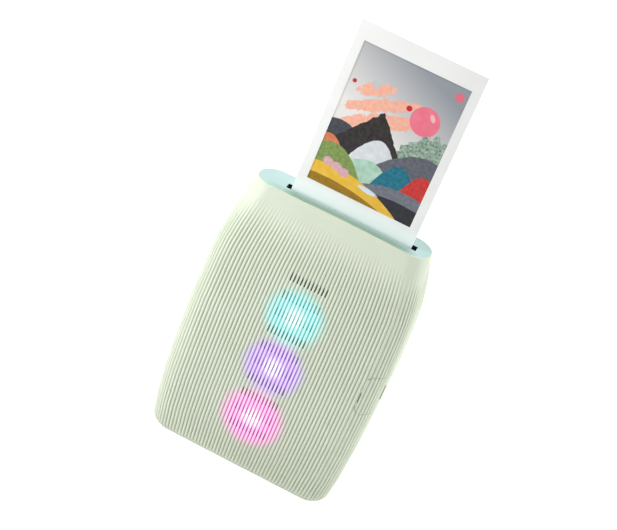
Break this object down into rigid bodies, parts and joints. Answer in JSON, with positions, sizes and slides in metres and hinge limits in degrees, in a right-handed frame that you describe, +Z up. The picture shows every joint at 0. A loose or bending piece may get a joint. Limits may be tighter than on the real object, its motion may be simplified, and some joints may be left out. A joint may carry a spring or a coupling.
{
  "type": "photo printer",
  "caption": "Compact upright photo printer: ribbed barrel-sided case, lamps in front, corner power button, hinged rear film door and an instant print rising from the top slot.",
  "frame": {"origin": "centre of the flat base, on the surface it stands on", "axes": "+Z up, -Y towards the face with the lamps, +X towards the power button"},
  "size_m": [0.09, 0.0372, 0.2016],
  "materials": {
    "shell": "fine matt moulded plastic, pale green-grey",
    "top": "fine matt moulded plastic, pale blue-green",
    "dark_window": "smoked clear plastic",
    "black_plastic": "light-tight black plastic",
    "felt": "short black pile",
    "print_border": "coated white film",
    "print_picture": "coated picture layer",
    "film_sheet": "unexposed coated film",
    "spring_steel": "rolled spring steel",
    "grey_plastic": "dark grey moulded plastic",
    "circuit_board": "solder mask over glass laminate",
    "white_plastic": "white reflecting plastic",
    "milky_plastic": "milky light-spreading plastic",
    "led": "lamp package",
    "chip": "moulded chip package",
    "connector": "natural connector plastic",
    "flex": "polyimide strip with copper lines",
    "battery_foil": "laminated cell pouch",
    "foam": "closed-cell foam",
    "port_steel": "drawn stainless shell",
    "frame_steel": "zinc-plated pressed steel",
    "roller_steel": "ground steel",
    "bush": "sintered bronze",
    "gear": "natural acetal",
    "brass": "cut brass",
    "motor_can": "nickel-plated can",
    "lens": "clear rod lens",
    "latch_plastic": "matt moulded plastic, a shade darker than the case",
    "screw": "black-passivated steel"
  },
  "bodies": {
    "case": {"front_shell": "shell", "rear_shell": "shell", "top_plate": "top", "exit_guide": "black_plastic", "slot_felts": "felt", "film_case": "black_plastic", "film_sheets": "film_sheet", "pack_spring": "spring_steel", "chassis": "grey_plastic", "main_board": "circuit_board", "light_baffle": "white_plastic", "light_diffuser": "milky_plastic", "light_leds": "led", "board_chips": "chip", "board_plugs": "connector", "head_flex": "flex", "side_flex": "flex", "battery_lead": "flex", "battery": "battery_foil", "battery_foam": "foam", "side_board": "circuit_board", "power_switch": "chip", "button_spring": "spring_steel", "port_board": "circuit_board", "charging_port": "port_steel", "port_tongue": "black_plastic", "left_frame": "frame_steel", "right_frame": "frame_steel", "roller_bushes": "bush", "roller_springs": "spring_steel", "gear_axles": "roller_steel", "gear_cover": "grey_plastic", "drive_motor": "motor_can", "exposure_head": "black_plastic", "exposure_lens": "lens", "hinge_pins": "roller_steel", "chassis_screws": "screw", "board_screws": "screw", "frame_screws": "screw", "cover_screws": "screw", "port_screws": "screw"},
    "film_door": {"film_door": "shell", "door_panel": "grey_plastic", "door_seal": "foam", "pressure_pads": "black_plastic", "pressure_springs": "spring_steel"},
    "door_latch": {"door_latch": "latch_plastic"},
    "power_button": {"power_button": "shell", "status_window": "dark_window"},
    "rear_roller": {"rear_roller": "roller_steel", "rear_roller_gear": "gear"},
    "front_roller": {"front_roller": "roller_steel", "front_roller_gear": "gear"},
    "second_gear": {"second_gear": "gear"},
    "first_gear": {"first_gear": "gear"},
    "motor_rotor": {"motor_shaft": "roller_steel", "motor_pinion": "brass"},
    "print": {"print_sheet": "print_border", "print_picture": "print_picture"},
    "film_claw": {"film_claw": "spring_steel"}
  },
  "joints": [
    {"name": "film_door_hinge", "type": "hinge", "parent": "case", "child": "film_door", "pos_m": [0, 0.0149, 0.007], "axis": [-1, 0, 0], "range_deg": [0, 75]},
    {"name": "door_latch_slide", "type": "slide", "parent": "film_door", "child": "door_latch", "axis": [0, 0, 1], "range_m": [0, 0.0025]},
    {"name": "power_button_press", "type": "slide", "parent": "case", "child": "power_button", "axis": [-1, 0, 0], "range_m": [0, 0.00025], "stiffness_N_per_m": 1500, "springref_m": -0.0006},
    {"name": "rear_roller_spin", "type": "hinge", "parent": "case", "child": "rear_roller", "pos_m": [0.0033, 0.0003, 0.11626], "axis": [1, 0, 0], "continuous": true},
    {"name": "front_roller_spin", "type": "hinge", "parent": "case", "child": "front_roller", "pos_m": [0.0033, -0.0054, 0.11656], "axis": [1, 0, 0], "continuous": true},
    {"name": "second_gear_spin", "type": "hinge", "parent": "case", "child": "second_gear", "pos_m": [0.0033, 0.00286, 0.11226], "axis": [1, 0, 0], "continuous": true},
    {"name": "first_gear_spin", "type": "hinge", "parent": "case", "child": "first_gear", "pos_m": [0.0033, -0.00057, 0.10679], "axis": [1, 0, 0], "continuous": true},
    {"name": "motor_spin", "type": "hinge", "parent": "case", "child": "motor_rotor", "pos_m": [0.0033, 0.00627, 0.10694], "axis": [1, 0, 0], "continuous": true},
    {"name": "print_feed", "type": "slide", "parent": "case", "child": "print", "axis": [0, 0.0523, 0.9986], "range_m": [-0.101, 0.012]},
    {"name": "film_claw_slide", "type": "slide", "parent": "case", "child": "film_claw", "axis": [0, 0.0523, 0.9986], "range_m": [0, 0.006]}
  ],
  "couplings": [
    {"joint": "front_roller_spin", "follows": "rear_roller_spin", "ratio": -1},
    {"joint": "second_gear_spin", "follows": "rear_roller_spin", "ratio": -1.5},
    {"joint": "first_gear_spin", "follows": "rear_roller_spin", "ratio": 3.6},
    {"joint": "motor_spin", "follows": "rear_roller_spin", "ratio": -9.36}
  ]
}
